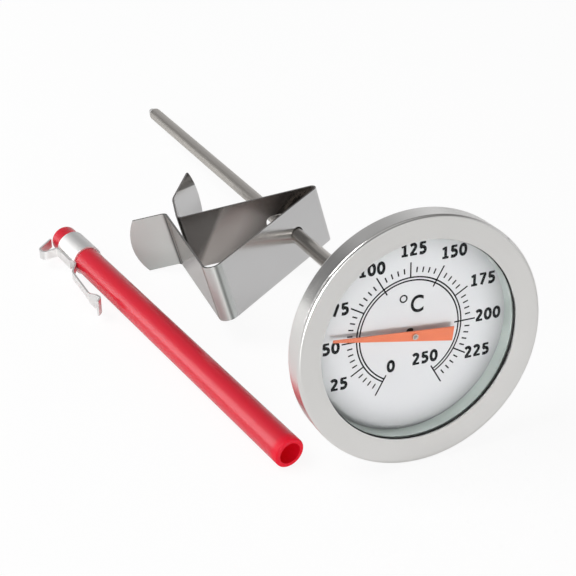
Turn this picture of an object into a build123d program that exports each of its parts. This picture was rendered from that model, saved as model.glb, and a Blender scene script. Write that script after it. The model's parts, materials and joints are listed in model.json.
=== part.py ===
from build123d import *
import os
from math import asin, atan2, cos, degrees, hypot, radians, sin, tan

# Dial thermometer with a pan clip, lying on a table beside its pocket sheath.
# The thermometer is built with the middle of its dial at the origin, the stem along +Y and
# +Z up. It is then laid down on its rim, its tip and one corner of the clip.

# --- head ---
HEAD_RADIUS = 27.5
BEZEL_SHEET = 0.6
BEZEL_OPENING_RADIUS = 22.2
BEZEL_LIP_SETBACK = 0.7
BEZEL_ROUNDING = 0.6
BEZEL_INNER_ROUNDING = 0.1
BEZEL_CRIMP_WIDTH = 1.7
BEZEL_REAR_AHEAD_OF_DIAL = 0.5
HEAD_FIT = 0.1
GASKET_SHEET = 0.2
GASKET_SKIRT = 0.6
GASKET_OVERHANG = 0.15
GLASS_THICKNESS = 1.0
GLASS_TO_DIAL = 3.3
SPACER_INNER_RADIUS = 22.25
DIAL_THICKNESS = 0.5
DIAL_HOLE_RADIUS = 1.0
DIAL_LEAN = 2.6
CASE_RADIUS = 25.65
CASE_WALL = 0.6
CASE_BACK = 2.2
CASE_FLOOR = 0.5
CASE_ROUNDING = 2.0
CASE_FLANGE = 0.5
DIAL_LEDGE = 1.7

# --- stem ---
STEM_RADIUS = 1.8
STEM_WALL = 0.3
STEM_END = 168.0
TIP_CONE_LENGTH = 4.0
TIP_END_RADIUS = 0.75
TIP_ROUNDING = 0.5
TIP_SPIGOT_LENGTH = 3.0
PRESS_GAP = 0.02
TURNING_GAP = 0.05
COLLAR_FLANGE_RADIUS = 4.2
COLLAR_FLANGE = 0.4
COLLAR_NECK_WALL = 0.7
COLLAR_LENGTH = 4.6
WASHER_THICKNESS = 0.3
NUT_ACROSS_FLATS = 8.0
NUT_THICKNESS = 3.0
NUT_CHAMFER = 0.5

# --- movement inside the stem ---
SPINDLE_RADIUS = 0.4
SPINDLE_FRONT = 2.5
BUSH_LENGTH = 3.0
UPPER_BUSH_PLACE = 6.0
LOWER_BUSH_TO_COIL = 10.0
COIL_TO_STEM_END = 46.0
COIL_TURNS = 12
COIL_PITCH = 2.4
COIL_RADIUS = 1.05
COIL_STRIP_WIDTH = 1.3
COIL_STRIP_SHEET = 0.15
COIL_COLLAR_RADIUS = 1.2
COIL_COLLAR_LENGTH = 2.0
ANCHOR_LENGTH = 3.0

# --- pointer ---
POINTER_HEIGHT = 1.9
POINTER_SHEET = 0.25
POINTER_LENGTH = 18.4
POINTER_TAIL = 9.1
POINTER_TAIL_WIDTH = 3.15
POINTER_TIP_WIDTH = 0.5
POINTER_FROM_TWELVE = -82.5
HUB_RADIUS = 0.65
HUB_LENGTH = 1.2

# --- pan clip: one folded strip; lengths run between bend corners ---
STRIP_WIDTH = 14.6
STRIP_SHEET = 0.5
TIGHT_BEND_PLACE = 64.36
TIGHT_BEND_OFFSET = 11.39
FRONT_PLATE_LENGTH = 41.99
FRONT_PLATE_HEADING = -115.8
LEG_LENGTH = 38.2
LEG_HEADING = 4.08
GRIP_LENGTH = 8.59
GRIP_HEADING = -65.2
BACK_PLATE_LENGTH = 36.65
BACK_PLATE_HEADING = -66.8
LIP_LENGTH = 11.83
LIP_HEADING = 14.0
TAB_LENGTH = 14.16
TAB_HEADING = 35.5
TIGHT_BEND_RADIUS = 1.4
ROUND_BEND_RADIUS = 2.3
FOLD_RADIUS = 1.6
LIP_BEND_RADIUS = 8.0
END_ARC_RISE = 2.3
HOLE_SIDE_FIT = 0.2
HOLE_END_FIT = 0.08
SLOT_TRAVEL = 1.2

# --- sheath ---
SHEATH_LENGTH = 104.5
SHEATH_MOUTH_RADIUS = 3.53
SHEATH_DRAFT = 0.11
SHEATH_BORE_RADIUS = 2.5
SHEATH_FLOOR = 2.5
SHEATH_MOUTH_ROUNDING = 0.4
SHEATH_END_ROUNDING = 0.9
SHEATH_MOUTH_X = -26.7
SHEATH_MOUTH_Y = -0.12
SHEATH_HEADING = 11.0

# --- pocket clip on the sheath; places run from the sheath's mouth ---
BAND_PLACE = 91.0
BAND_LENGTH = 8.8
BAND_SHEET = 0.42
BAND_FIT = 0.03
LOOP_STRIP_WIDTH = 2.4
ARM_STRIP_WIDTH = 2.0
POCKET_STRIP_SHEET = 0.45
PAD_RISE = 0.25
PAD_LENGTH = 5.0
LOOP_INSET = 0.9
LOOP_REACH = 8.35
LOOP_TOP_WIDTH = 2.1
LOOP_BASE_WIDTH = 4.9
LOOP_ROUNDING = 1.1
ARM_STEP_LENGTH = 4.0
ARM_STEP_RISE = 2.45
ARM_LENGTH = 15.8
ARM_RISE = 3.7
ARM_DIP_PLACE = 19.6
ARM_DIP_RISE = 2.8
ARM_TIP_PLACE = 20.9
ARM_TIP_RISE = 4.3
ARM_ROOT_LENGTH = 0.8
ARM_ROOT_BEND = 1.0
ARM_SHOULDER_BEND = 2.5
ARM_DIP_BEND = 0.8
SPADE_WIDTH = 4.2
SPADE_START = 14.6
SPADE_FULL = 18.0
SPADE_CORNER = 1.6

# --- places that follow from the sizes above ---
case_bore = CASE_RADIUS - CASE_WALL
glass_rear = -GLASS_TO_DIAL
glass_front = glass_rear - GLASS_THICKNESS
gasket_front = glass_front - GASKET_SHEET
bezel_lip_front = gasket_front - BEZEL_SHEET
bezel_front = bezel_lip_front - BEZEL_LIP_SETBACK
bezel_rear = -BEZEL_REAR_AHEAD_OF_DIAL
bezel_bore = HEAD_RADIUS - BEZEL_SHEET
crimp_front = bezel_rear - BEZEL_SHEET
flange_front = crimp_front - CASE_FLANGE
case_inside = CASE_BACK - CASE_FLOOR
stem_bore = STEM_RADIUS - STEM_WALL
collar_neck = STEM_RADIUS + COLLAR_NECK_WALL
collar_front = case_inside - WASHER_THICKNESS - COLLAR_FLANGE
coil_place = STEM_END - COIL_TO_STEM_END
lower_bush_place = coil_place - LOWER_BUSH_TO_COIL
coil_end = coil_place + COIL_TURNS * COIL_PITCH + COIL_STRIP_WIDTH
tip_end = STEM_END + TIP_CONE_LENGTH


def turned(*corners):
    """Solid turned about the stem's axis; each corner is (radius, place, rounding)."""
    points = [(radius, place) for radius, place, _ in corners]
    roundings = [rounding for _, _, rounding in corners]
    if any(roundings):
        outline = FilletPolyline(*points, radius=roundings, close=True)
    else:
        outline = Polyline(*points, close=True)
    return revolve(make_face(outline), axis=Axis.Y)


def ring(inner, outer, front, back):
    """Plain turned ring, or a disc when the inner radius is nought."""
    return turned((inner, front, 0), (outer, front, 0), (outer, back, 0), (inner, back, 0))


# ---------------------------------------------------------------- head


def bezel_ring():
    """Stamped front ring, rounded at its rim and crimped behind the case's flange."""
    crimp_radius = HEAD_RADIUS - BEZEL_CRIMP_WIDTH
    slope = BEZEL_LIP_SETBACK / (HEAD_RADIUS - BEZEL_OPENING_RADIUS)
    inner_front = gasket_front - slope * (bezel_bore - BEZEL_OPENING_RADIUS)
    return turned(
        (BEZEL_OPENING_RADIUS, bezel_lip_front, 0),
        (HEAD_RADIUS, bezel_front, BEZEL_ROUNDING),
        (HEAD_RADIUS, bezel_rear, BEZEL_ROUNDING),
        (crimp_radius, bezel_rear, 0),
        (crimp_radius, crimp_front, 0),
        (bezel_bore, crimp_front, 0),
        (bezel_bore, inner_front, BEZEL_INNER_ROUNDING),
        (BEZEL_OPENING_RADIUS, gasket_front, 0),
    )


def case_cup():
    """Shallow cup behind the dial, with a flange for the bezel and a ledge for the dial."""
    flange_radius = bezel_bore - HEAD_FIT
    ledge_radius = case_bore - DIAL_LEDGE
    hole = collar_neck + TURNING_GAP
    return turned(
        (case_bore, flange_front, 0),
        (flange_radius, flange_front, 0),
        (flange_radius, crimp_front, 0),
        (CASE_RADIUS, crimp_front, 0),
        (CASE_RADIUS, CASE_BACK, CASE_ROUNDING),
        (hole, CASE_BACK, 0),
        (hole, case_inside, 0),
        (ledge_radius, case_inside, 0),
        (ledge_radius, DIAL_THICKNESS, 0),
        (case_bore, DIAL_THICKNESS, 0),
    )


def window_gasket():
    """Black seal: a lip on the glass's front and a skirt round its edge."""
    outer = bezel_bore - HEAD_FIT
    inner = BEZEL_OPENING_RADIUS - GASKET_OVERHANG
    skirt = outer - GASKET_SKIRT
    return turned(
        (inner, gasket_front, 0),
        (outer, gasket_front, 0),
        (outer, glass_rear, 0),
        (skirt, glass_rear, 0),
        (skirt, glass_front, 0),
        (inner, glass_front, 0),
    )


def window_glass():
    """Flat round window."""
    radius = bezel_bore - HEAD_FIT - GASKET_SKIRT - PRESS_GAP
    return ring(0, radius, glass_front, glass_rear)


def spacer_ring():
    """Coloured ring that holds the glass off the dial."""
    return ring(SPACER_INNER_RADIUS, case_bore - HEAD_FIT, glass_rear, 0)


def dial_plate():
    """Flat dial with a hole for the spindle."""
    return ring(DIAL_HOLE_RADIUS, case_bore - HEAD_FIT, 0, DIAL_THICKNESS)


def friction_washer():
    """Thin washer that makes the collar turn stiffly in the case."""
    return ring(collar_neck + TURNING_GAP, COLLAR_FLANGE_RADIUS, case_inside - WASHER_THICKNESS, case_inside)


# ---------------------------------------------------------------- stem


def stem_tube():
    """Straight thin tube."""
    return ring(stem_bore, STEM_RADIUS, collar_front, STEM_END)


def stem_collar():
    """Flanged sleeve on the head end of the tube, turning in the back of the case."""
    bore = STEM_RADIUS + PRESS_GAP
    neck_front = collar_front + COLLAR_FLANGE
    return turned(
        (bore, collar_front, 0),
        (COLLAR_FLANGE_RADIUS, collar_front, 0),
        (COLLAR_FLANGE_RADIUS, neck_front, 0),
        (collar_neck, neck_front, 0),
        (collar_neck, collar_front + COLLAR_LENGTH, 0),
        (bore, collar_front + COLLAR_LENGTH, 0),
    )


def calibration_nut():
    """Hexagon behind the head; turning it turns the stem against the dial."""
    hexagon = RegularPolygon(NUT_ACROSS_FLATS / 2, 6, major_radius=False)
    corner = NUT_ACROSS_FLATS / 2 / cos(radians(30))
    blank = Plane.XZ.offset(-CASE_BACK - NUT_THICKNESS) * extrude(hexagon, NUT_THICKNESS)
    chamfered = turned(
        (collar_neck + PRESS_GAP, CASE_BACK, 0),
        (corner, CASE_BACK, 0),
        (corner, CASE_BACK + NUT_THICKNESS - NUT_CHAMFER, 0),
        (corner - 2 * NUT_CHAMFER, CASE_BACK + NUT_THICKNESS, 0),
        (collar_neck + PRESS_GAP, CASE_BACK + NUT_THICKNESS, 0),
    )
    return blank & chamfered


def tip_plug():
    """Pointed plug that closes the tube."""
    spigot = stem_bore - PRESS_GAP
    return turned(
        (0, STEM_END - TIP_SPIGOT_LENGTH, 0),
        (spigot, STEM_END - TIP_SPIGOT_LENGTH, 0),
        (spigot, STEM_END, 0),
        (STEM_RADIUS, STEM_END, 0),
        (TIP_END_RADIUS, tip_end, TIP_ROUNDING),
        (0, tip_end, 0),
    )


def spindle_bush(place):
    """Bearing for the spindle inside the tube."""
    return ring(SPINDLE_RADIUS + TURNING_GAP, stem_bore - PRESS_GAP, place, place + BUSH_LENGTH)


def coil_anchor():
    """Plug that holds the far end of the bimetal coil."""
    return ring(0, stem_bore - PRESS_GAP, coil_end, coil_end + ANCHOR_LENGTH)


def bimetal_coil():
    """Bimetal strip wound as a helix between the spindle's collar and the anchor."""
    first = coil_place + COIL_STRIP_WIDTH / 2
    path = Helix(COIL_PITCH, COIL_TURNS * COIL_PITCH, COIL_RADIUS, (0, first, 0), (0, 1, 0))
    section = Plane(path @ 0, x_dir=(0, 1, 0), z_dir=path % 0) * Rectangle(COIL_STRIP_WIDTH, COIL_STRIP_SHEET)
    return sweep(section, path, is_frenet=True)


# ---------------------------------------------------------------- pointer


def spindle():
    """Long thin rod from the bimetal coil to the pointer."""
    return ring(0, SPINDLE_RADIUS, -SPINDLE_FRONT, coil_place)


def coil_collar():
    """Collar on the spindle that the coil's near end is fixed to."""
    return ring(SPINDLE_RADIUS + PRESS_GAP, COIL_COLLAR_RADIUS, coil_place - COIL_COLLAR_LENGTH, coil_place)


def pointer_hub():
    """Small bright bush that carries the pointer."""
    middle = -POINTER_HEIGHT
    return ring(SPINDLE_RADIUS + PRESS_GAP, HUB_RADIUS, middle - HUB_LENGTH / 2, middle + HUB_LENGTH / 2)


def pointer():
    """Long flat triangle, wide at its tail."""
    outline = Polyline(
        (-POINTER_TAIL_WIDTH / 2, -POINTER_TAIL),
        (POINTER_TAIL_WIDTH / 2, -POINTER_TAIL),
        (POINTER_TIP_WIDTH / 2, POINTER_LENGTH),
        (-POINTER_TIP_WIDTH / 2, POINTER_LENGTH),
        close=True,
    )
    blade = make_face(outline) - Circle(HUB_RADIUS + PRESS_GAP)
    upright = Plane.XZ.offset(POINTER_HEIGHT - POINTER_SHEET / 2) * extrude(blade, POINTER_SHEET)
    return Rot(0, POINTER_FROM_TWELVE + DIAL_LEAN, 0) * upright


# ---------------------------------------------------------------- resting pose of the thermometer


def resting_slope():
    """Downward slope of the stem, lying on the rim's rounding and the end of the tube, in radians."""
    rise = HEAD_RADIUS - BEZEL_ROUNDING - STEM_RADIUS
    run = STEM_END - (bezel_rear - BEZEL_ROUNDING)
    return atan2(rise, run) + asin(BEZEL_ROUNDING / hypot(rise, run))


slope = resting_slope()
dial_height = (
    (HEAD_RADIUS - BEZEL_ROUNDING) * cos(slope)
    + (bezel_rear - BEZEL_ROUNDING) * sin(slope)
    + BEZEL_ROUNDING
)
lying = Pos(0, 0, dial_height) * Rot(-degrees(slope), 0, 0)


# ---------------------------------------------------------------- pan clip


def onward(start, heading, length):
    """Point a length away from a start, in the clip's plane."""
    return (start[0] + length * cos(radians(heading)), start[1] + length * sin(radians(heading)))


tight_corner = (TIGHT_BEND_PLACE, TIGHT_BEND_OFFSET)
round_corner = onward(tight_corner, FRONT_PLATE_HEADING, FRONT_PLATE_LENGTH)
fold_corner = onward(round_corner, LEG_HEADING, LEG_LENGTH)
grip_corner = onward(fold_corner, GRIP_HEADING, GRIP_LENGTH)
throat_corner = onward(tight_corner, BACK_PLATE_HEADING, BACK_PLATE_LENGTH)
lip_corner = onward(throat_corner, LIP_HEADING, LIP_LENGTH)
tab_corner = onward(lip_corner, TAB_HEADING, TAB_LENGTH)
bend_stub = 4 * TIGHT_BEND_RADIUS


def clip_roll():
    """Turn of the clip about the stem that puts the grip's lower corner on the table, in degrees."""
    drop = (dial_height - grip_corner[0] * sin(slope)) / cos(slope)
    half_width = STRIP_WIDTH / 2
    across = abs(grip_corner[1])
    return degrees(atan2(half_width, across) - asin(drop / hypot(across, half_width)))


roll = radians(clip_roll())
clip_plane = Plane(origin=(0, 0, 0), x_dir=(0, 1, 0), z_dir=(-sin(roll), 0, -cos(roll)))


def end_cutter(corner, heading):
    """What is cut from a strip's end to leave it as an arc from corner to corner."""
    half_width = STRIP_WIDTH / 2
    radius = (half_width**2 + END_ARC_RISE**2) / (2 * END_ARC_RISE)
    direction = (cos(radians(heading)), sin(radians(heading)), 0)
    normal = (-direction[1], direction[0], 0)
    flat = Plane(origin=(corner[0], corner[1], 0), x_dir=direction, z_dir=normal)
    waste = Pos(END_ARC_RISE, 0) * Rectangle(2 * END_ARC_RISE, STRIP_WIDTH + 2)
    waste -= Pos(END_ARC_RISE - radius, 0) * Circle(radius)
    return flat * extrude(waste, STRIP_SHEET, both=True)


def stem_opening(heading, travel):
    """Cutter for the hole in a plate that the stem crosses, longer by travel on its far side."""
    lean = radians(abs(abs(heading) - 90))
    width = 2 * (STEM_RADIUS + HOLE_SIDE_FIT)
    half_length = STEM_RADIUS / cos(lean) + STRIP_SHEET / 2 * tan(lean) + HOLE_END_FIT
    distance = -TIGHT_BEND_OFFSET / sin(radians(heading))
    direction = (cos(radians(heading)), sin(radians(heading)), 0)
    normal = (-direction[1], direction[0], 0)
    start = onward(tight_corner, heading, distance + travel / 2)
    flat = Plane(origin=(start[0], start[1], 0), x_dir=direction, z_dir=normal)
    return flat * extrude(SlotOverall(2 * half_length + travel, width), STRIP_SHEET, both=True)


def folded_strip(corners, bends):
    """Strip along a filleted line in the clip's plane."""
    return extrude(trace(FilletPolyline(*corners, radius=bends), STRIP_SHEET), STRIP_WIDTH / 2, both=True)


def tight_bend_line():
    """Heading of the line that halves the tight bend, and the bend centre's distance from its corner."""
    heading = (FRONT_PLATE_HEADING + BACK_PLATE_HEADING) / 2
    half_angle = radians((BACK_PLATE_HEADING - FRONT_PLATE_HEADING) / 2)
    return heading, TIGHT_BEND_RADIUS / sin(half_angle)


def flex_point():
    """Outer skin of the tight bend, in the clip's plane: the line the back plate springs about."""
    heading, centre_distance = tight_bend_line()
    return onward(tight_corner, heading, centre_distance - TIGHT_BEND_RADIUS - STRIP_SHEET / 2)


def beyond_divide(side):
    """What lies on one side of the tight bend's middle: 1 is the back plate's side, -1 the front's."""
    heading, _ = tight_bend_line()
    across = (-sin(radians(heading)), cos(radians(heading)), 0)
    divide = Plane(origin=(tight_corner[0], tight_corner[1], 0), x_dir=(0, 0, 1), z_dir=across)
    size = 3 * bend_stub
    return divide * Pos(0, 0, side * size / 2) * Box(STRIP_WIDTH + 2, size, size)


def clip_front():
    """Grip, leg and front plate, up to the middle of the tight bend."""
    grip_end = onward(grip_corner, GRIP_HEADING, END_ARC_RISE)
    stub = onward(tight_corner, BACK_PLATE_HEADING, bend_stub)
    corners = (grip_end, fold_corner, round_corner, tight_corner, stub)
    strip = folded_strip(corners, (FOLD_RADIUS, ROUND_BEND_RADIUS, TIGHT_BEND_RADIUS))
    strip -= beyond_divide(1)
    strip -= end_cutter(grip_corner, GRIP_HEADING)
    return clip_plane * (strip - stem_opening(FRONT_PLATE_HEADING, 0))


def clip_back():
    """Back plate, lip and tab, from the middle of the tight bend."""
    tab_end = onward(tab_corner, TAB_HEADING, END_ARC_RISE)
    stub = onward(tight_corner, FRONT_PLATE_HEADING, bend_stub)
    corners = (stub, tight_corner, throat_corner, lip_corner, tab_end)
    strip = folded_strip(corners, (TIGHT_BEND_RADIUS, FOLD_RADIUS, LIP_BEND_RADIUS))
    strip -= beyond_divide(-1)
    strip -= end_cutter(tab_corner, TAB_HEADING)
    return clip_plane * (strip - stem_opening(BACK_PLATE_HEADING, SLOT_TRAVEL))


# ---------------------------------------------------------------- sheath, built along +Y from its mouth


def sheath_radius(place):
    """Outer radius of the tapered sheath at a place along it."""
    return SHEATH_MOUTH_RADIUS - SHEATH_DRAFT * place / SHEATH_LENGTH


band_bore = sheath_radius(BAND_PLACE) + BAND_FIT
band_radius = band_bore + BAND_SHEET
band_end = BAND_PLACE + BAND_LENGTH
arm_line = band_bore + POCKET_STRIP_SHEET / 2
pad_face = band_radius + PAD_RISE
loop_line = pad_face + POCKET_STRIP_SHEET / 2


def sheath_tube():
    """Plastic tube, closed at one end and slightly tapered."""
    return turned(
        (SHEATH_BORE_RADIUS, 0, 0),
        (SHEATH_MOUTH_RADIUS, 0, SHEATH_MOUTH_ROUNDING),
        (sheath_radius(SHEATH_LENGTH), SHEATH_LENGTH, SHEATH_END_ROUNDING),
        (0, SHEATH_LENGTH, 0),
        (0, SHEATH_LENGTH - SHEATH_FLOOR, 0),
        (SHEATH_BORE_RADIUS, SHEATH_LENGTH - SHEATH_FLOOR, 0),
    )


def clip_band():
    """Metal band round the sheath with a raised flat pad for the loop strip."""
    band = ring(band_bore, band_radius, BAND_PLACE, band_end)
    pad_middle = (-(band_radius + pad_face) / 2 + BAND_SHEET / 2, BAND_PLACE + PAD_LENGTH / 2, 0)
    pad = Pos(*pad_middle) * Box(pad_face - band_radius + BAND_SHEET, PAD_LENGTH, LOOP_STRIP_WIDTH)
    bore = ring(0, band_bore, BAND_PLACE, band_end)
    return band + pad - bore


def pocket_strip(corners, bends, width):
    """Narrow strip bent in the level plane; corners are (place, distance from the sheath's axis)."""
    points = [(-distance, place) for place, distance in corners]
    return extrude(trace(FilletPolyline(*points, radius=bends), POCKET_STRIP_SHEET), width / 2, both=True)


def clip_loop():
    """Strip welded on the pad and bent out into a loop that the stem can pass through."""
    near = band_end - LOOP_INSET
    return pocket_strip(
        (
            (BAND_PLACE + POCKET_STRIP_SHEET, loop_line),
            (near, loop_line),
            (near, LOOP_REACH),
            (near + LOOP_TOP_WIDTH, LOOP_REACH),
            (near + LOOP_BASE_WIDTH, sheath_radius(near + LOOP_BASE_WIDTH) + POCKET_STRIP_SHEET),
        ),
        (POCKET_STRIP_SHEET, LOOP_ROUNDING, LOOP_ROUNDING),
        LOOP_STRIP_WIDTH,
    )


def arm_plan():
    """Arm seen from its side: narrow, widening to a spade with rounded corners."""
    half = ARM_STRIP_WIDTH / 2
    spade = SPADE_WIDTH / 2
    beyond = ARM_TIP_PLACE + SPADE_CORNER
    outline = FilletPolyline(
        (BAND_PLACE, -half),
        (BAND_PLACE - SPADE_START, -half),
        (BAND_PLACE - SPADE_FULL, -spade),
        (BAND_PLACE - beyond, -spade),
        (BAND_PLACE - beyond, spade),
        (BAND_PLACE - SPADE_FULL, spade),
        (BAND_PLACE - SPADE_START, half),
        (BAND_PLACE, half),
        radius=(0, SPADE_CORNER, SPADE_CORNER, SPADE_CORNER, SPADE_CORNER, SPADE_CORNER, SPADE_CORNER, 0),
        close=True,
    )
    return Plane.YZ * extrude(make_face(outline), 2 * LOOP_REACH, both=True)


def clip_arm():
    """Spring arm from the band's edge, stepped out from the tube and ending in a curled spade."""
    arm = pocket_strip(
        (
            (BAND_PLACE, arm_line),
            (BAND_PLACE - ARM_ROOT_LENGTH, arm_line),
            (BAND_PLACE - ARM_STEP_LENGTH, arm_line + ARM_STEP_RISE),
            (BAND_PLACE - ARM_LENGTH, arm_line + ARM_RISE),
            (BAND_PLACE - ARM_DIP_PLACE, arm_line + ARM_DIP_RISE),
            (BAND_PLACE - ARM_TIP_PLACE, arm_line + ARM_TIP_RISE),
        ),
        (ARM_ROOT_BEND, ARM_SHOULDER_BEND, ARM_DIP_BEND, ARM_DIP_BEND),
        SPADE_WIDTH,
    )
    return arm & arm_plan()


sheath_slope = atan2(band_radius - SHEATH_MOUTH_RADIUS, BAND_PLACE - SHEATH_MOUTH_ROUNDING)
sheath_height = SHEATH_MOUTH_RADIUS * cos(sheath_slope) - SHEATH_MOUTH_ROUNDING * sin(sheath_slope)
beside = (
    Pos(SHEATH_MOUTH_X, SHEATH_MOUTH_Y, sheath_height)
    * Rot(0, 0, SHEATH_HEADING)
    * Rot(degrees(sheath_slope), 0, 0)
)


# ---------------------------------------------------------------- everything in its place


def all_parts():
    """Every part by name, the thermometer laid down and the sheath beside it."""
    thermometer = {
        "bezel_ring": bezel_ring(),
        "case_cup": case_cup(),
        "window_gasket": window_gasket(),
        "window_glass": window_glass(),
        "spacer_ring": spacer_ring(),
        "dial_plate": dial_plate(),
        "friction_washer": friction_washer(),
        "stem_tube": stem_tube(),
        "stem_collar": stem_collar(),
        "calibration_nut": calibration_nut(),
        "tip_plug": tip_plug(),
        "upper_bush": spindle_bush(UPPER_BUSH_PLACE),
        "lower_bush": spindle_bush(lower_bush_place),
        "coil_anchor": coil_anchor(),
        "bimetal_coil": bimetal_coil(),
        "spindle": spindle(),
        "coil_collar": coil_collar(),
        "pointer_hub": pointer_hub(),
        "pointer": pointer(),
        "clip_front": clip_front(),
        "clip_back": clip_back(),
    }
    sheath = {
        "sheath_tube": sheath_tube(),
        "clip_band": clip_band(),
        "clip_loop": clip_loop(),
        "clip_arm": clip_arm(),
    }
    placed = {name: lying * shape for name, shape in thermometer.items()}
    placed.update({name: beside * shape for name, shape in sheath.items()})
    return placed


parts = all_parts()
box = Compound(children=[Compound(shape.solids()) for shape in parts.values()]).bounding_box()
home = Pos(-(box.min.X + box.max.X) / 2, -(box.min.Y + box.max.Y) / 2, 0)

os.makedirs("parts", exist_ok=True)
for name, shape in parts.items():
    placed = home * shape
    if len(placed.solids()) == 1:
        placed = placed.solids()[0]
    export_step(placed, "parts/" + name + ".step")
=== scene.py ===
"""Dial thermometer with its pan clip and red sheath: finishes, dial print and studio."""

from __future__ import annotations

import json
import logging
import math
from dataclasses import dataclass, field
from enum import Enum
from typing import Any, Callable, Mapping, Sequence

import bmesh
import bpy
from mathutils import Matrix, Vector

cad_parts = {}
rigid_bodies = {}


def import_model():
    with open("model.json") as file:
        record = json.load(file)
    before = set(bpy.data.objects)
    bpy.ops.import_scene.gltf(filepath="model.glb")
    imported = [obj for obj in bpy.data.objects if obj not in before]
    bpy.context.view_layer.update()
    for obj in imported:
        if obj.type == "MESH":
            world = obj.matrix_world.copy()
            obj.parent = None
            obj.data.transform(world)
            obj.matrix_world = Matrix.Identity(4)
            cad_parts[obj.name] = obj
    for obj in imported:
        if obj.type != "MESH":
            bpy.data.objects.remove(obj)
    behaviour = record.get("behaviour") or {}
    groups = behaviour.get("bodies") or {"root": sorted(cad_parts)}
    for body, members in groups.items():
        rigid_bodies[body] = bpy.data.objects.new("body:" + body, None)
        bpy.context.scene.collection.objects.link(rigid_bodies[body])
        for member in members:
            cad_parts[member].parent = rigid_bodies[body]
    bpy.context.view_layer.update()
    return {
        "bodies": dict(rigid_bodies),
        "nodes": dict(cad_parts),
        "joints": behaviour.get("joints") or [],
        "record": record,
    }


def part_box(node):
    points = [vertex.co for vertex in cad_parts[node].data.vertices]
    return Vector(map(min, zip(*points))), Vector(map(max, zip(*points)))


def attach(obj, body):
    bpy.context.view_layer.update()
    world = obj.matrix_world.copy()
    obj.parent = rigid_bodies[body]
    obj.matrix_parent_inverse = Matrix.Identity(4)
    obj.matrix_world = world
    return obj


LOG = logging.getLogger("thermometer")
MM = 0.001

Colour = tuple[float, float, float]
Place = tuple[float, float, float]
Stops = Sequence[tuple[float, Colour]]
Way = Sequence[float]
Sockets = Mapping[str | int, Any]
Table = Mapping[str, Any]

# Numbers of a Mix node's sockets: the share, the two colours and the mixed colour.
MIX_SHARE, MIX_FIRST, MIX_SECOND, MIXED = 0, 6, 7, 2

BLACK: Colour = (0.0, 0.0, 0.0)
WHITE: Colour = (1.0, 1.0, 1.0)


@dataclass(frozen=True)
class Clouds:
    """A cloudy texture: its clouds to the metre, its finer layers and how strong those are."""

    to_the_metre: float
    layers: float
    layer_strength: float


def maths(operation: str, turned: bool = False) -> Callable[[Wire, Any], Wire]:
    """A method that adds the Math node of one operation on a Wire and another value.

    Args:
        operation: Math operation, such as ADD.
        turned: whether the other value comes first.

    Returns:
        The method.
    """

    def method(self: Wire, other: Any) -> Wire:
        """Adds the node and gives its result."""
        inputs = {0: other, 1: self} if turned else {0: self, 1: other}
        return self.bench.add("ShaderNodeMath", {"operation": operation}, inputs)

    return method


class Wire:
    """A value in a node tree that can be written in plain arithmetic.

    Its over is 1 where it is greater than a limit and else 0, its remainder is what is left of it
    after whole steps, and its largest and smallest compare it with another value.
    """

    __add__, __radd__ = maths("ADD"), maths("ADD", turned=True)
    __sub__, __rsub__ = maths("SUBTRACT"), maths("SUBTRACT", turned=True)
    __mul__, __rmul__ = maths("MULTIPLY"), maths("MULTIPLY", turned=True)
    __truediv__ = maths("DIVIDE")
    over = maths("GREATER_THAN")
    remainder = maths("MODULO")
    largest = maths("MAXIMUM")
    smallest = maths("MINIMUM")

    def __init__(self, bench: Bench, node: bpy.types.Node, output: str | int = 0) -> None:
        """Takes one output of a node on the bench."""
        self.bench, self.node, self.output = bench, node, output

    def out(self, output: str | int) -> Wire:
        """Another output of the same node."""
        return Wire(self.bench, self.node, output)

    def _vector_maths(self, operation: str, *other: Way) -> Wire:
        """Adds the Vector Math node of one operation on this vector and maybe another."""
        inputs = dict(enumerate((self, *other)))
        return self.bench.add("ShaderNodeVectorMath", {"operation": operation}, inputs)

    def clipped(self) -> Wire:
        """This, held between 0 and 1."""
        return self.largest(0.0).smallest(1.0)

    def unsigned(self) -> Wire:
        """This without its sign."""
        return self.largest(self * -1.0)

    def swing(self, size: float) -> Wire:
        """A value from 0 to 1 as a change of up to half the size to either side."""
        return (self - 0.5) * size

    def along(self, way: Way) -> Wire:
        """How far this point or direction reaches along a way."""
        return self._vector_maths("DOT_PRODUCT", way).out("Value")

    def away_from(self, centre: Vector, way: Vector) -> Wire:
        """How far this point lies from the line through a centre along a unit direction."""
        across = self._vector_maths("SUBTRACT", centre)._vector_maths("CROSS_PRODUCT", way)
        return across._vector_maths("LENGTH").out("Value")

    def clouded(self, clouds: Clouds) -> Wire:
        """A cloudy value from 0 to 1 at this point."""
        inputs = {
            "Vector": self,
            "Scale": clouds.to_the_metre,
            "Detail": clouds.layers,
            "Roughness": clouds.layer_strength,
        }
        return self.bench.add("ShaderNodeTexNoise", {"noise_dimensions": "3D"}, inputs)


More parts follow.
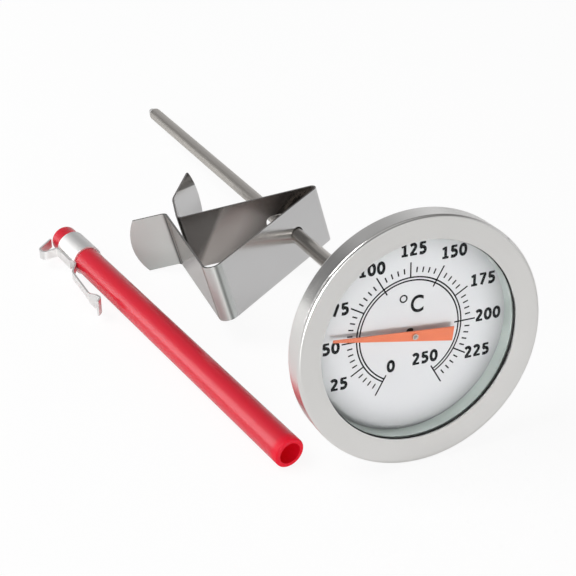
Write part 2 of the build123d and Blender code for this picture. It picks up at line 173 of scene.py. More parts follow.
class Bench:
    """A node tree being wired up."""

    def __init__(self, tree: bpy.types.NodeTree) -> None:
        """Takes an empty tree to work on."""
        self.tree = tree

    def add(self, kind: str, settings: Table | None = None, inputs: Sockets | None = None) -> Wire:
        """Adds one node, with its settings first and its sockets after.

        Args:
            kind: the node's type name.
            settings: the node's own properties; "stops" are a ramp's (place, colour) pairs.
            inputs: values or Wires by socket name or number.

        Returns:
            The node's first output, which gives the others too.
        """
        node = self.tree.nodes.new(kind)
        for name, value in (settings or {}).items():
            if name == "stops":
                self._set_stops(node, value)
            else:
                setattr(node, name, value)
        for name, value in (inputs or {}).items():
            socket = node.inputs[name]
            if isinstance(value, Wire):
                self.tree.links.new(value.node.outputs[value.output], socket)
            else:
                socket.default_value = (*value, 1.0) if socket.type == "RGBA" else value
        return Wire(self, node)

    @staticmethod
    def _set_stops(node: bpy.types.Node, stops: Stops) -> None:
        """Gives a colour ramp its stops.

        Args:
            node: a Color Ramp node.
            stops: places from 0 to 1 with their colours.
        """
        elements = node.color_ramp.elements
        while len(elements) < len(stops):
            elements.new(1.0)
        for element, (place, colour) in zip(elements, stops):
            element.position = place
            element.color = (*colour, 1.0)

    def place(self) -> Wire:
        """The point on the piece, in the object's own metres."""
        return self.add("ShaderNodeTexCoord").out("Object")

    def facing(self) -> Wire:
        """The way the surface faces, in the object's own frame."""
        return self.add("ShaderNodeTexCoord").out("Normal")

    def together(self, x: Any, y: Any, z: Any) -> Wire:
        """A vector from three values."""
        return self.add("ShaderNodeCombineXYZ", inputs={0: x, 1: y, 2: z})

    def ramp(self, value: Wire, stops: Stops) -> Wire:
        """A colour for each value, through a ramp."""
        return self.add("ShaderNodeValToRGB", {"stops": stops}, {0: value})

    def blend(self, share: Any, first: Any, second: Any, way: str = "MIX") -> Wire:
        """Two colours mixed in a blend type, by the second one's share from 0 to 1."""
        given = {MIX_SHARE: share, MIX_FIRST: first, MIX_SECOND: second}
        return self.add("ShaderNodeMix", {"data_type": "RGBA", "blend_type": way}, given).out(MIXED)

    def tinted(self, colour: Any, tint: Colour) -> Wire:
        """A colour multiplied by a tint."""
        return self.blend(1.0, colour, tint, "MULTIPLY")

    def shader(self, inputs: Sockets) -> Wire:
        """A surface of the general kind, from its sockets."""
        return self.add("ShaderNodeBsdfPrincipled", inputs=inputs)

    def bump(self, height: Wire, depth: float) -> Wire:
        """A normal from a height of 0 to 1, where 1 stands for a depth in metres."""
        return self.add("ShaderNodeBump", inputs={"Height": height, "Distance": depth})


@dataclass(frozen=True)
class Finish:
    """What every finish has: a name and a way to become a material."""

    name: str

    def lay(self, bench: Bench) -> Wire:
        """Adds the finish's shader.

        Args:
            bench: the material's tree.

        Returns:
            The surface.
        """
        raise NotImplementedError

    def material(self) -> bpy.types.Material:
        """Lays the finish in a new material.

        Returns:
            The material.
        """
        made = bpy.data.materials.new(self.name)
        made.use_nodes = True
        made.node_tree.nodes.clear()
        bench = Bench(made.node_tree)
        bench.add("ShaderNodeOutputMaterial", inputs={"Surface": self.lay(bench)})
        return made


class Grain(Enum):
    """How a metal's fine lines run."""

    TURNED = "rings about an axis"
    DRAWN = "lines along an axis"
    ROLLED = "lines square to an axis"
    NONE = "no lines"


@dataclass(frozen=True)
class DullZone:
    """A part of a piece that is rubbed duller, with a painted tint against a coloured reflection.
    """

    way: Way
    start: float
    full: float
    roughness: float
    tint: Colour = WHITE

    def share(self, point: Wire) -> Wire:
        """How much of the zone a point has: 0 before its start and 1 when it is full."""
        return ((point.along(self.way) - self.start) / (self.full - self.start)).clipped()


@dataclass(frozen=True)
class Metal(Finish):
    """Bare or plated metal with fine working lines, handling marks and a few specks."""

    colour: Colour = (0.62, 0.61, 0.60)
    shade: Colour = (0.52, 0.51, 0.50)
    roughness: float = 0.25
    unevenness: float = 0.12
    grain: Grain = Grain.NONE
    centre: Vector = field(default_factory=Vector)
    way: Vector = field(default_factory=Vector)
    lines_to_the_metre: float = 5000.0
    line_run: float = 0.02
    depth: float = 1.5e-6
    dull_zones: tuple[DullZone, ...] = ()
    line_clouds: Clouds = Clouds(1.0, 2.0, 0.6)
    tooth: Clouds = Clouds(1000.0, 2.0, 0.5)
    marks: Clouds = Clouds(90.0, 4.0, 0.55)
    specks: Clouds = Clouds(1400.0, 1.0, 0.4)
    speck_unevenness: float = 0.03
    least_roughness: float = 0.03

    def lines(self, point: Wire) -> Wire:
        """The height of the working lines, from 0 to 1.

        Args:
            point: the point on the piece.

        Returns:
            The height.
        """
        if self.grain is Grain.NONE:
            return point.clouded(self.tooth)
        fine, run = self.lines_to_the_metre, self.lines_to_the_metre * self.line_run
        along = point.along(self.way)
        if self.grain is Grain.TURNED:
            spread = (point.away_from(self.centre, self.way) * fine, along * fine, 0.0)
        elif self.grain is Grain.DRAWN:
            right = Vector((1.0, 0.0, 0.0))
            up = self.way.cross(right)
            spread = (point.along(right) * fine, point.along(up) * fine, along * run)
        else:
            first = self.way.cross(Vector((0.0, 0.0, 1.0))).normalized()
            second = self.way.cross(first)
            spread = (along * fine, point.along(first) * run, point.along(second) * run)
        return point.bench.together(*spread).clouded(self.line_clouds)

    def dullness(self, point: Wire) -> Any:
        """How rough the metal is before its marks: more inside the rubbed zones.

        Args:
            point: the point on the piece.

        Returns:
            The roughness, a number or a Wire.
        """
        rough: Any = self.roughness
        for zone in self.dull_zones:
            rough = rough + zone.share(point) * (zone.roughness - self.roughness)
        return rough

    def shaded(self, point: Wire, tint: Wire) -> Wire:
        """The metal's colour after local changes: none here."""
        return tint

    def lay(self, bench: Bench) -> Wire:
        """Adds the metal's shader.

        Args:
            bench: the material's tree.

        Returns:
            The surface.
        """
        point = bench.place()
        lines, marks = self.lines(point), point.clouded(self.marks)
        rough = marks.swing(self.unevenness) + lines.swing(self.unevenness) + self.dullness(point)
        rough = rough + point.clouded(self.specks).swing(self.speck_unevenness)
        tint = bench.blend(lines * 0.5 + marks * 0.5, self.shade, self.colour)
        return bench.shader(
            {
                "Base Color": self.shaded(point, tint),
                "Metallic": 1.0,
                "Roughness": rough.largest(self.least_roughness),
                "Normal": bench.bump(lines, self.depth),
            }
        )


@dataclass(frozen=True)
class ShadeBand:
    """A band of painted shade and painted dark reflection across one side of a piece."""

    side: Way
    way: Way
    middle: float
    half_width: float
    fade: float
    darkness: float
    side_limit: float = 0.3

    def over(self, point: Wire, tint: Wire) -> Wire:
        """Darkens a colour inside the band.

        Args:
            point: the point on the piece.
            tint: the colour outside the band.

        Returns:
            The colour with the band laid over it.
        """
        past_edge = ((point.along(self.way) - self.middle).unsigned() - self.half_width) / self.fade
        share = (1.0 - past_edge.clipped()) * self.darkness
        on_side = point.bench.facing().along(self.side).over(self.side_limit)
        return point.bench.blend(share * on_side, tint, BLACK)


@dataclass(frozen=True)
class StripSteel(Metal):
    """Rolled strip with rubbed zones and painted shade on its inner face, its edges and in bands.
    """

    inner_way: Way = (0.0, 0.0, 1.0)
    # Painted shade on the inner face, which faces into the clip's dark inside.
    inner_shade_tint: Colour = (0.62, 0.585, 0.555)
    inner_limit: float = 0.3
    # Bands of painted shade and painted dark reflection.
    shade_bands: tuple[ShadeBand, ...] = ()
    # Painted shade: the narrow sheared edges are darkened.
    edge_shade_tint: Colour = (0.36, 0.345, 0.335)
    edge_limit: float = 0.7

    def on_edge(self, bench: Bench) -> Wire:
        """1 on the strip's sheared edges, which face along its bends, and 0 on its faces."""
        return bench.facing().along(self.way).unsigned().over(self.edge_limit)

    def dullness(self, point: Wire) -> Any:
        """How rough the strip is before its marks: as other metal, but its edges are not rubbed."""
        rubbed = super().dullness(point) - self.roughness
        return self.roughness + rubbed * (1.0 - self.on_edge(point.bench))

    def shaded(self, point: Wire, tint: Wire) -> Wire:
        """Paints shade on the inner face, the edges and in bands, and tints the rubbed zones.

        Args:
            point: the point on the piece.
            tint: the strip's plain colour.

        Returns:
            The strip's colour.
        """
        bench = point.bench
        for zone in self.dull_zones:
            # A zone's tint is painted, offsetting a coloured reflection.
            tint = bench.blend(zone.share(point), tint, bench.tinted(tint, zone.tint))
        inside = bench.facing().along(self.inner_way).over(self.inner_limit)
        # Painted shade: the inner face is darkened and warmed.
        tint = bench.blend(inside, tint, bench.tinted(tint, self.inner_shade_tint))
        # Painted shade bands.
        for painted_band in self.shade_bands:
            tint = painted_band.over(point, tint)
        # Painted shade on the edges.
        return bench.blend(self.on_edge(bench), tint, bench.tinted(tint, self.edge_shade_tint))


@dataclass(frozen=True)
class Glass(Finish):
    """Clear flat window glass that lets lamps through to the dial."""

    tint: Colour = (0.99, 0.99, 0.99)
    smear: Colour = (0.98, 0.982, 0.98)
    bending: float = 1.16
    smears: Clouds = Clouds(60.0, 3.0, 0.6)

    def lay(self, bench: Bench) -> Wire:
        """Adds the glass's shader.

        Args:
            bench: the material's tree.

        Returns:
            The surface.
        """
        smears = bench.place().clouded(self.smears)
        pane = bench.shader(
            {
                "Base Color": bench.blend(smears, self.tint, self.smear),
                "Roughness": 0.0,
                "IOR": self.bending,
                "Transmission Weight": 1.0,
            }
        )
        through = bench.add("ShaderNodeBsdfTransparent", inputs={"Color": self.tint})
        shadow = bench.add("ShaderNodeLightPath").out("Is Shadow Ray")
        return bench.add("ShaderNodeMixShader", inputs={0: shadow, 1: pane, 2: through})


@dataclass(frozen=True)
class DialPaintWithShade(Finish):
    """The dial's baked white enamel, with painted shade darkening it towards its edge."""

    centre: Vector = field(default_factory=Vector)
    way: Vector = field(default_factory=Vector)
    white: Colour = (0.70, 0.705, 0.715)
    # Painted shade: the dark grey the enamel turns to at its edge.
    rim_shade: Colour = (0.27, 0.275, 0.28)
    unshaded_radius: float = 14.5 * MM
    full_shade_radius: float = 23.0 * MM
    roughness: float = 0.42
    unevenness: float = 0.08
    cloudiness: float = 0.06
    depth: float = 2e-6
    peel: Clouds = Clouds(2500.0, 2.0, 0.5)
    clouds: Clouds = Clouds(120.0, 3.0, 0.5)

    def lay(self, bench: Bench) -> Wire:
        """Adds the enamel's shader.

        Args:
            bench: the material's tree.

        Returns:
            The surface.
        """
        point = bench.place()
        # Painted shade: the enamel darkens from the unshaded radius out to the edge, as the bezel's
        # recess shades it.
        outwards = point.away_from(self.centre, self.way) - self.unshaded_radius
        share = (outwards / (self.full_shade_radius - self.unshaded_radius)).clipped()
        peel, cloud = point.clouded(self.peel), point.clouded(self.clouds)
        # Clouds then mottle the shaded enamel towards the same dark grey.
        paint = bench.blend(share * share, self.white, self.rim_shade)
        return bench.shader(
            {
                "Base Color": bench.blend(cloud * self.cloudiness, paint, self.rim_shade),
                "Roughness": self.roughness + peel.swing(self.unevenness),
                "Normal": bench.bump(peel, self.depth),
            }
        )


@dataclass(frozen=True)
class Paint(Finish):
    """Flat or satin paint, ink, rubber or moulded plastic with a faint texture."""

    colour: Colour = (0.5, 0.5, 0.5)
    shade: Colour = (0.4, 0.4, 0.4)
    roughness: float = 0.5
    unevenness: float = 0.1
    texture: Clouds = Clouds(1800.0, 3.0, 0.55)
    clouds: Clouds = Clouds(150.0, 3.0, 0.5)
    cloudiness: float = 0.5
    mottle: float = 0.3
    depth: float = 3e-6
    shine: float = 0.5
    coat: float = 0.0
    coat_roughness: float = 0.08
    glow_through: float = 0.0
    glow_colour: Colour = (1.0, 0.2, 0.1)
    glow_reach: float = 1.2 * MM

    def extras(self, point: Wire) -> Sockets:
        """Sockets that a special paint sets its own way: none here."""
        return {}

    def lay(self, bench: Bench) -> Wire:
        """Adds the paint's shader.

        Args:
            bench: the material's tree.

        Returns:
            The surface.
        """
        point = bench.place()
        fine = point.clouded(self.texture)
        shaded = point.clouded(self.clouds) * self.cloudiness + fine * self.mottle
        inputs: dict[str | int, Any] = {
            "Base Color": bench.blend(shaded, self.colour, self.shade),
            "Roughness": self.roughness + fine.swing(self.unevenness),
            "Normal": bench.bump(fine, self.depth),
            "Specular IOR Level": self.shine,
            "Coat Weight": self.coat,
            "Coat Roughness": self.coat_roughness,
        }
        inputs.update(self.extras(point))
        if self.glow_through > 0:
            inputs["Subsurface Weight"] = self.glow_through
            inputs["Subsurface Radius"] = self.glow_colour
            inputs["Subsurface Scale"] = self.glow_reach
        return bench.shader(inputs)


@dataclass(frozen=True)
class SheathPlastic(Paint):
    """Dyed plastic that light soaks through, with a painted glow in the bore and at the mouth."""

    middle: Vector = field(default_factory=Vector)
    way: Vector = field(default_factory=Vector)
    bore: float = 2.5 * MM
    bore_margin: float = 0.2 * MM
    to_mouth: float = 51.0 * MM
    mouth_depth: float = 1.4 * MM
    mouth_dullness: float = 0.8
    # Painted glow: the dim red that the bore and the mouth give off.
    painted_glow: Colour = (0.09, 0.0, 0.0)

    def extras(self, point: Wire) -> Sockets:
        """The painted glow in the bore and at the mouth, and the mouth's duller skin.

        Args:
            point: the point on the piece.

        Returns:
            The sockets' values.
        """
        past_middle = point.along(self.way) - self.middle.dot(self.way)
        mouth = ((past_middle - (self.to_mouth - self.mouth_depth)) / self.mouth_depth).clipped()
        from_axis = point.away_from(self.middle, self.way)
        inside = (self.bore + self.bore_margin - from_axis).over(0.0)
        return {
            "Coat Weight": self.coat * (1.0 - mouth * self.mouth_dullness),
            # Painted glow: the bore and the mouth emit red, standing in for light soaking through
            # the plastic.
            "Emission Color": point.bench.blend(inside.largest(mouth), BLACK, self.painted_glow),
            "Emission Strength": 1.0,
        }


@dataclass(frozen=True)
class Bimetal(Finish):
    """The two-layer strip's heat-straw colour, darker in patches."""

    patch_colours: Stops = ((0.35, (0.42, 0.40, 0.42)), (0.62, (0.66, 0.50, 0.32)))
    patches: Clouds = Clouds(700.0, 3.0, 0.6)
    tooth: Clouds = Clouds(6000.0, 2.0, 0.5)
    roughness: float = 0.32
    unevenness: float = 0.15
    depth: float = 1e-6

    def lay(self, bench: Bench) -> Wire:
        """Adds the strip's shader.

        Args:
            bench: the material's tree.

        Returns:
            The surface.
        """
        point = bench.place()
        fine = point.clouded(self.tooth)
        return bench.shader(
            {
                "Base Color": bench.ramp(point.clouded(self.patches), self.patch_colours),
                "Metallic": 1.0,
                "Roughness": self.roughness + fine.swing(self.unevenness),
                "Normal": bench.bump(fine, self.depth),
            }
        )


@dataclass(frozen=True)
class Paper(Finish):
    """White paper: it keeps a soft shadow and looks white to the camera and in reflections."""

    colour: Colour = (0.86, 0.86, 0.86)
    whiteness: float = 0.88
    mirrored_whiteness: float = 0.15
    whiteness_through_glass: float = 0.08
    glow: float = 1.03

    def lay(self, bench: Bench) -> Wire:
        """Adds the paper's shader.

        Args:
            bench: the material's tree.

        Returns:
            The surface.
        """
        rays = bench.add("ShaderNodeLightPath")
        share = rays.out("Is Camera Ray") * self.whiteness
        share = share.largest(rays.out("Is Glossy Ray") * self.mirrored_whiteness)
        share = share.largest(rays.out("Is Transmission Ray") * self.whiteness_through_glass)
        paper = bench.add("ShaderNodeBsdfDiffuse", inputs={"Color": self.colour})
        white = bench.add("ShaderNodeEmission", inputs={"Color": WHITE, "Strength": self.glow})
        return bench.add("ShaderNodeMixShader", inputs={0: share, 1: paper, 2: white})


def row(rows: Sequence[Table], name: str) -> Table:
    """The row of a table that has a name."""
    return next(r for r in rows if r["name"] == name)


def joint_way(frame: Table, name: str) -> Vector:
    """The unit direction of a joint's axis, in the row frame."""
    return Vector(row(frame["joints"], name)["axis"]).normalized()


def plain_mesh(holder: bpy.types.Object) -> bpy.types.Mesh:
    """Turns an object's evaluated shape into a plain mesh and removes the object.

    Args:
        holder: the object, already in the scene.

    Returns:
        The mesh.
    """
    graph = bpy.context.evaluated_depsgraph_get()
    made = bpy.data.meshes.new_from_object(holder.evaluated_get(graph))
    holder.modifiers.clear()
    bpy.data.objects.remove(holder)
    return made


def put_in_scene(name: str, data: bpy.types.ID) -> bpy.types.Object:
    """Makes an object and puts it in the scene.

    Args:
        name: the object's name.
        data: its mesh, writing, lamp or camera.

    Returns:
        The object.
    """
    made = bpy.data.objects.new(name, data)
    bpy.context.scene.collection.objects.link(made)
    return made


@dataclass
class DialFrame:
    """Where the dial's face lies: its middle, its way along the stem and its twelve o'clock."""

    centre: Vector
    along_stem: Vector
    lean_deg: float = 2.6

    @classmethod
    def from_frame(cls, frame: Table, plate_thickness: float) -> DialFrame:
        """Reads the dial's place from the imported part.

        Args:
            plate_thickness: the dial plate's thickness in metres.

        Returns:
            The dial's frame, with its middle on the painted face.
        """
        along = joint_way(frame, "stem_setting")
        if along.y < 0:
            along = -along
        low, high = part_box("dial_plate")
        return cls((low + high) / 2 - along * (plate_thickness / 2), along)

    def matrix(self) -> Matrix:
        """Turns dial coordinates (right, towards twelve, out of the face) into the row frame.

        Returns:
            The matrix.
        """
        flat = Vector((1.0, 0.0, 0.0))
        upright = flat.cross(self.along_stem).normalized()
        turn = Matrix.Rotation(math.radians(self.lean_deg), 3, self.along_stem)
        placed = Matrix((turn @ flat, turn @ upright, -self.along_stem)).transposed().to_4x4()
        placed.translation = self.centre
        return placed


@dataclass(frozen=True)
class Stroke:
    """One pen stroke of a figure, in a box of height 1."""

    points: tuple[tuple[float, float], ...]
    weight: float = 0.28
    curved: bool = False
    closed: bool = False
    steps: int = 8

    def path(self) -> list[Vector]:
        """The stroke's middle line.

        Returns:
            Points along it, close together where it is curved.
        """
        points = [Vector(point) for point in self.points]
        if not self.curved:
            return points
        count = len(points)
        made = []
        for index in range(count if self.closed else count - 1):
            places = (index + shift for shift in (-1, 0, 1, 2))
            if self.closed:
                near = [points[place % count] for place in places]
            else:
                near = [points[min(max(place, 0), count - 1)] for place in places]
            made += [self.between(near, step / self.steps) for step in range(self.steps)]
        if not self.closed:
            made.append(points[-1])
        return made

    @staticmethod
    def between(near: Sequence[Vector], share: float) -> Vector:
        """A point on the smooth curve through four points.

        Args:
            near: the point before, the two it runs between, and the one after.
            share: how far it is from the second to the third.

        Returns:
            The point.
        """
        before, first, second, after = near
        bend = (2 * before - 5 * first + 4 * second - after) * share
        twist = (3 * first - before - 3 * second + after) * share * share
        return first + ((second - before) + bend + twist) * (share / 2)

    def ribbon(self, vertices: list[Place], faces: list[tuple[int, ...]]) -> None:
        """Adds the stroke as a closed ribbon of thickness 1.

        Args:
            vertices: the figure's points, added to.
            faces: the figure's faces, added to.
        """
        path = self.path()
        count = len(path)
        base = len(vertices)
        for index, point in enumerate(path):
            before = path[index - 1] if index or self.closed else point
            after = path[(index + 1) % count] if index + 1 < count or self.closed else point
            way = (after - before).normalized()
            aside = Vector((-way.y, way.x)) * (self.weight / 2)
            for side in (point + aside, point - aside):
                vertices += [(*side, 0.0), (*side, 1.0)]
        for index in range(count if self.closed else count - 1):
            here = base + 4 * index
            there = base + 4 * ((index + 1) % count)
            for first, second in ((0, 1), (1, 3), (3, 2), (2, 0)):
                faces.append((here + first, here + second, there + second, there + first))
        if not self.closed:
            last = base + 4 * (count - 1)
            faces.append((base, base + 2, base + 3, base + 1))
            faces.append((last, last + 1, last + 3, last + 2))


THIN_STROKE = 0.20
FIGURE_STROKES: Mapping[str, tuple[Stroke, ...]] = {
    "0": (
        Stroke(
            ((0.37, 0.915), (0.57, 0.80), (0.645, 0.50), (0.57, 0.20))
            + ((0.37, 0.085), (0.17, 0.20), (0.095, 0.50), (0.17, 0.80)),
            curved=True,
            closed=True,
        ),
    ),
    "1": (
        Stroke(((0.42, 0.0), (0.42, 1.0))),
        Stroke(((0.10, 0.80), (0.42, 0.91)), weight=THIN_STROKE),
        Stroke(((0.10, 0.07), (0.72, 0.07)), weight=THIN_STROKE),
    ),
    "2": (
        Stroke(
            ((0.07, 0.80), (0.22, 0.905), (0.42, 0.905), (0.56, 0.79))
            + ((0.54, 0.62), (0.40, 0.42), (0.12, 0.10)),
            curved=True,
        ),
        Stroke(((0.03, 0.075), (0.71, 0.075)), weight=THIN_STROKE),
    ),
    "5": (
        Stroke(((0.12, 0.925), (0.67, 0.925)), weight=THIN_STROKE),
        Stroke(((0.20, 0.96), (0.18, 0.52))),
        Stroke(
            ((0.12, 0.55), (0.34, 0.59), (0.54, 0.51), (0.61, 0.34))
            + ((0.53, 0.16), (0.32, 0.08), (0.06, 0.11)),
            curved=True,
        ),
    ),
    "7": (
        Stroke(((0.04, 0.925), (0.70, 0.925)), weight=THIN_STROKE),
        Stroke(((0.63, 0.93), (0.24, 0.0))),
    ),
}


@dataclass(frozen=True)
class Lines:
    """One kind of line round the dial: one to so many degrees of heat, between two radii.

    Where left_out_every is set, the first of each so many lines is left to a longer kind.
    """

    name: str
    every: int
    start: float
    end: float
    left_out_every: int = 0


@dataclass
class DialPrint:
    """The scale printed on the dial: short and long lines, a double ring, figures and the unit."""

    place: DialFrame
    ink: bpy.types.Material
    first_deg: float = -150.0
    sweep_deg: float = 300.0
    top_reading: int = 250
    lines: tuple[Lines, ...] = (
        Lines("short_lines", 5, 13.0 * MM, 14.2 * MM, left_out_every=5),
        Lines("long_lines", 25, 12.0 * MM, 15.35 * MM),
        Lines("crossing_lines", 50, 10.45 * MM, 12.0 * MM),
    )
    rings: Mapping[str, float] = field(
        default_factory=lambda: {"outer_ring": 12.0 * MM, "inner_ring": 11.35 * MM}
    )
    ring_steps: int = 240
    scale_centre: Place = (-0.15 * MM, 0.30 * MM, 0.0)
    line_width: float = 0.32 * MM
    ink_thickness: float = 0.03 * MM
    figure_height: float = 2.6 * MM
    figure_slimness: float = 0.89
    figure_advance: float = 0.90
    figure_box: float = 0.74
    unit_boldness: float = 0.02
    unit_extrude: float = 0.005
    unit_steps: int = 6
    unit_size: tuple[float, float] = (2.95 * MM, 3.9 * MM)
    unit_place: Place = (1.5 * MM, 6.2 * MM, 0.0)
    degree_radius: float = 0.75 * MM
    degree_sweep_deg: float = 359.9
    degree_place: Place = (-1.65 * MM, 7.85 * MM, 0.0)
    figure_places: tuple[tuple[str, float, float], ...] = (
        ("0", -4.3, -6.9),
        ("25", -16.1, -8.5),
        ("50", -17.9, -0.05),
        ("75", -15.8, 8.2),
        ("100", -8.9, 15.6),
        ("125", 0.4, 18.4),
        ("150", 9.7, 16.4),
        ("175", 16.7, 9.0),
        ("200", 18.3, 0.7),
        ("225", 16.0, -7.4),
        ("250", 3.6, -6.45),
    )

    @staticmethod
    def open_tree(name: str, sockets: Mapping[str, str]) -> tuple[Bench, dict[str, Wire]]:
        """Starts a geometry tree with named inputs.

        Args:
            name: the tree's name.
            sockets: the inputs' names and kinds.

        Returns:
            The tree's bench and its inputs by name.
        """
        tree = bpy.data.node_groups.new(name, "GeometryNodeTree")
        for socket, kind in sockets.items():
            tree.interface.new_socket(socket, in_out="INPUT", socket_type=f"NodeSocket{kind}")
        tree.interface.new_socket("Geometry", in_out="OUTPUT", socket_type="NodeSocketGeometry")
        bench = Bench(tree)
        given = bench.add("NodeGroupInput")
        return bench, {socket: given.out(socket) for socket in sockets}

    @staticmethod
    def close_tree(shape: Wire, ink: Wire) -> bpy.types.NodeTree:
        """Ends a geometry tree: its shape is made real and inked.

        Args:
            shape: the shape.
            ink: the material.

        Returns:
            The tree.
        """
        bench = shape.bench
        real = bench.add("GeometryNodeRealizeInstances", inputs={0: shape})
        inked = bench.add("GeometryNodeSetMaterial", inputs={"Geometry": real, "Material": ink})
        bench.add("NodeGroupOutput", inputs={"Geometry": inked})
        return bench.tree

    def lines_tree(self) -> bpy.types.NodeTree:
        """Builds the tree that sets lines round a circle.

        Returns:
            A geometry tree with inputs for the lines' number, angles and sizes.
        """
        numbers = ("First Angle", "Step Angle", "Inner Radius", "Outer Radius")
        numbers += ("Line Width", "Thickness", "Skip Every", "Keep All")
        kinds = {"Count": "Int", **dict.fromkeys(numbers, "Float"), "Ink": "Material"}
        bench, value = self.open_tree("lines_round_a_dial", kinds)
        one_place = {"Count": value["Count"], "Offset": (0.0, 0.0, 0.0)}
        points = bench.add("GeometryNodeMeshLine", inputs=one_place)
        length = value["Outer Radius"] - value["Inner Radius"]
        middle = (value["Outer Radius"] + value["Inner Radius"]) * 0.5
        size = bench.together(value["Line Width"], length, value["Thickness"])
        bar = bench.add("GeometryNodeMeshCube", inputs={"Size": size})
        outwards = {"Geometry": bar, "Translation": bench.together(0.0, middle, 0.0)}
        index = bench.add("GeometryNodeInputIndex")
        angle = value["First Angle"] + value["Step Angle"] * index
        turns = bench.together(0.0, 0.0, 0.0 - angle)
        turn = bench.add("FunctionNodeEulerToRotation", inputs={0: turns})
        spread = bench.add(
            "GeometryNodeInstanceOnPoints",
            inputs={
                "Points": points,
                "Instance": bench.add("GeometryNodeTransform", inputs=outwards),
                "Rotation": turn,
                "Selection": (index.remainder(value["Skip Every"]) + value["Keep All"]).over(0.5),
            },
        )
        return self.close_tree(spread, value["Ink"])

    def ring_tree(self) -> bpy.types.NodeTree:
        """Builds the tree that draws one thin ring with open ends.

        Returns:
            A geometry tree with inputs for the ring's radius, angles and sizes.
        """
        shape = ("Radius", "Start Angle", "Sweep Angle")
        kinds = dict.fromkeys((*shape, "Line Width", "Thickness"), "Float")
        bench, value = self.open_tree("printed_ring", {**kinds, "Ink": "Material"})
        round_dial = {"Resolution": self.ring_steps, **{name: value[name] for name in shape}}
        arc = bench.add("GeometryNodeCurveArc", {"mode": "RADIUS"}, round_dial)
        size = {"Width": value["Line Width"], "Height": value["Thickness"]}
        outline = bench.add("GeometryNodeCurvePrimitiveQuadrilateral", inputs=size)
        swept = {"Curve": arc, "Profile Curve": outline, "Fill Caps": True}
        return self.close_tree(bench.add("GeometryNodeCurveToMesh", inputs=swept), value["Ink"])

    def grown(self, tree: bpy.types.NodeTree, values: Table) -> bpy.types.Mesh:
        """Runs a geometry tree once and keeps its result as a plain mesh.

        Args:
            tree: the tree to run.
            values: its inputs by name, apart from the ink and the line's width and thickness.

        Returns:
            The mesh, in dial coordinates.
        """
        common = {"Line Width": self.line_width, "Thickness": self.ink_thickness, "Ink": self.ink}
        values = {**common, **values}
        blank = bpy.data.meshes.new("blank")
        holder = put_in_scene("holder", blank)
        modifier = holder.modifiers.new("grow", "NODES")
        modifier.node_group = tree
        for item in tree.interface.items_tree:
            if item.item_type == "SOCKET" and item.in_out == "INPUT":
                modifier[item.identifier] = values[item.name]
        made = plain_mesh(holder)
        bpy.data.meshes.remove(blank)
        return made

    def stand(self, name: str, mesh: bpy.types.Mesh, at: Sequence[float]) -> None:
        """Lays a mesh on the dial and lets it ride with the head.

        Args:
            name: the piece's name.
            mesh: its mesh in dial coordinates, made about the origin.
            at: its place in dial coordinates.
        """
        mesh.transform(Matrix.Translation(at))
        mesh.transform(self.place.matrix())
        mesh.name = name
        if not mesh.materials:
            mesh.materials.append(self.ink)
        piece = put_in_scene(name, mesh)
        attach(piece, "head")
        LOG.info("%s has %d faces", name, len(mesh.polygons))

    def build_lines(self) -> None:
        """Prints the short, long and crossing lines."""
        tree = self.lines_tree()
        for lines in self.lines:
            values = {
                "Count": self.top_reading // lines.every + 1,
                "First Angle": math.radians(self.first_deg),
                "Step Angle": math.radians(self.sweep_deg * lines.every / self.top_reading),
                "Inner Radius": lines.start,
                "Outer Radius": lines.end,
                "Skip Every": float(lines.left_out_every or 1),
                "Keep All": 0.0 if lines.left_out_every else 1.0,
            }
            self.stand(lines.name, self.grown(tree, values), self.scale_centre)

    def build_rings(self) -> None:
        """Prints the double ring inside the lines."""
        tree = self.ring_tree()
        start = math.radians(90.0 - self.first_deg - self.sweep_deg)
        sweep = math.radians(self.sweep_deg)
        for name, radius in self.rings.items():
            values = {"Radius": radius, "Start Angle": start, "Sweep Angle": sweep}
            self.stand(name, self.grown(tree, values), self.scale_centre)

    def figures(self, text: str) -> bpy.types.Mesh:
        """A reading drawn with pen strokes around the origin, with a height and thickness of 1.

        Args:
            text: the reading's figures.

        Returns:
            The mesh.
        """
        vertices: list[Place] = []
        faces: list[tuple[int, ...]] = []
        start = -(self.figure_advance * (len(text) - 1) + self.figure_box) / 2
        for place, figure in enumerate(text):
            first = len(vertices)
            for stroke in FIGURE_STROKES[figure]:
                stroke.ribbon(vertices, faces)
            shift = start + self.figure_advance * place
            vertices[first:] = [(x + shift, y - 0.5, z - 0.5) for x, y, z in vertices[first:]]
        mesh = bpy.data.meshes.new(text)
        mesh.from_pydata(vertices, [], faces)
        shell = bmesh.new()
        shell.from_mesh(mesh)
        bmesh.ops.recalc_face_normals(shell, faces=shell.faces)
        shell.to_mesh(mesh)
        shell.free()
        return mesh

    def build_figures(self) -> None:
        """Prints the figures, upright on the dial."""
        height, width = self.figure_height, self.figure_height * self.figure_slimness
        for text, right, up in self.figure_places:
            mesh = self.figures(text)
            mesh.transform(Matrix.Diagonal((width, height, self.ink_thickness, 1.0)))
            self.stand(f"figure_{text}", mesh, (right * MM, up * MM, 0.0))

    def letter(self, text: str) -> bpy.types.Mesh:
        """A letter as a thin mesh around the origin, with a height of 1.

        Args:
            text: the letter.

        Returns:
            The mesh.
        """
        curve = bpy.data.curves.new("writing", "FONT")
        curve.body = text
        curve.size = 1.0
        curve.offset = self.unit_boldness
        curve.extrude = self.unit_extrude
        curve.resolution_u = self.unit_steps
        mesh = plain_mesh(put_in_scene("writing", curve))
        bpy.data.curves.remove(curve)
        xs = [v.co.x for v in mesh.vertices]
        ys = [v.co.y for v in mesh.vertices]
        middle = Vector(((min(xs) + max(xs)) / 2, (min(ys) + max(ys)) / 2, 0.0))
        mesh.transform(Matrix.Translation(-middle))
        mesh.transform(Matrix.Scale(1.0 / (max(ys) - min(ys)), 4))
        return mesh

